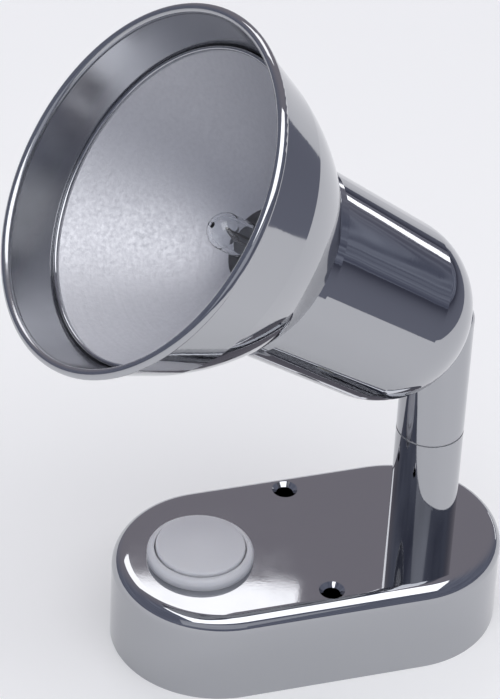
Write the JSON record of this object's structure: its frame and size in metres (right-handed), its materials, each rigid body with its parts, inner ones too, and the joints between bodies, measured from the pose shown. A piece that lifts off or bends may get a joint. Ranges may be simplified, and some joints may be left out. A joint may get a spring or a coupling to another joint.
{
  "type": "reading light",
  "caption": "Chrome swivel reading light: oblong base with a white push switch, round post, bullet housing and bell shade with a satin reflector and capsule bulb.",
  "frame": {"origin": "on the mounting plane, midway between the two fixing holes", "axes": "+Z out of the mounting plane, X along the base with the post at +X, Y along the line of the fixing holes"},
  "size_m": [0.1071, 0.0748, 0.1523],
  "materials": {
    "chrome": "bright chrome plating",
    "chrome_shade": "bright chrome plating on a spun sheet",
    "reflector_satin": "satin, finely spun",
    "switch_white": "semi-gloss moulded plastic",
    "cap_white": "semi-gloss moulded plastic",
    "plate_black": "matt moulded plastic",
    "grommet_rubber": "matt",
    "brass": "turned",
    "steel": "zinc plated",
    "nylon": "matt",
    "cup_metal": "drawn sheet",
    "ceramic": "unglazed",
    "bulb_clear": "clear",
    "tungsten": "drawn wire",
    "sheath_black": "soft",
    "lead_red": "soft",
    "lead_black": "soft"
  },
  "bodies": {
    "base": {"base_shell": "chrome", "back_plate": "plate_black", "plate_screws": "steel", "cable_grommet": "grommet_rubber", "switch_body": "switch_white", "switch_nut": "plate_black", "switch_insert": "plate_black", "switch_terminal_live": "brass", "switch_terminal_lamp": "brass", "switch_spring": "steel", "lower_post": "chrome", "swivel_washer": "nylon", "thrust_washer": "nylon", "switch_lead": "lead_red", "return_lead": "lead_black", "return_splice": "lead_black"},
    "button": {"switch_button": "cap_white", "contact_bridge": "brass"},
    "head": {"lamp_housing": "chrome", "pivot_tube": "brass", "spring_washer": "steel", "pivot_nut": "steel", "shade": "chrome_shade", "shade_screws": "steel", "reflector": "reflector_satin", "lamp_cup": "cup_metal", "lamp_holder": "ceramic", "holder_contacts": "brass", "holder_screws": "steel", "bulb_glass": "bulb_clear", "bulb_pins": "tungsten", "bulb_filament": "tungsten", "lamp_cable": "sheath_black", "lamp_lead_live": "lead_red", "lamp_lead_return": "lead_black"}
  },
  "joints": [
    {"name": "head_swivel", "type": "hinge", "parent": "base", "child": "head", "pos_m": [0.0249, 0, 0.046], "axis": [0, 0, 1], "range_deg": [-178, 162]},
    {"name": "button_push", "type": "slide", "parent": "base", "child": "button", "axis": [0, 0, 1], "range_m": [-0.0015, 0], "stiffness_N_per_m": 500, "springref_m": 0.003, "deforming": ["switch_spring"]}
  ]
}
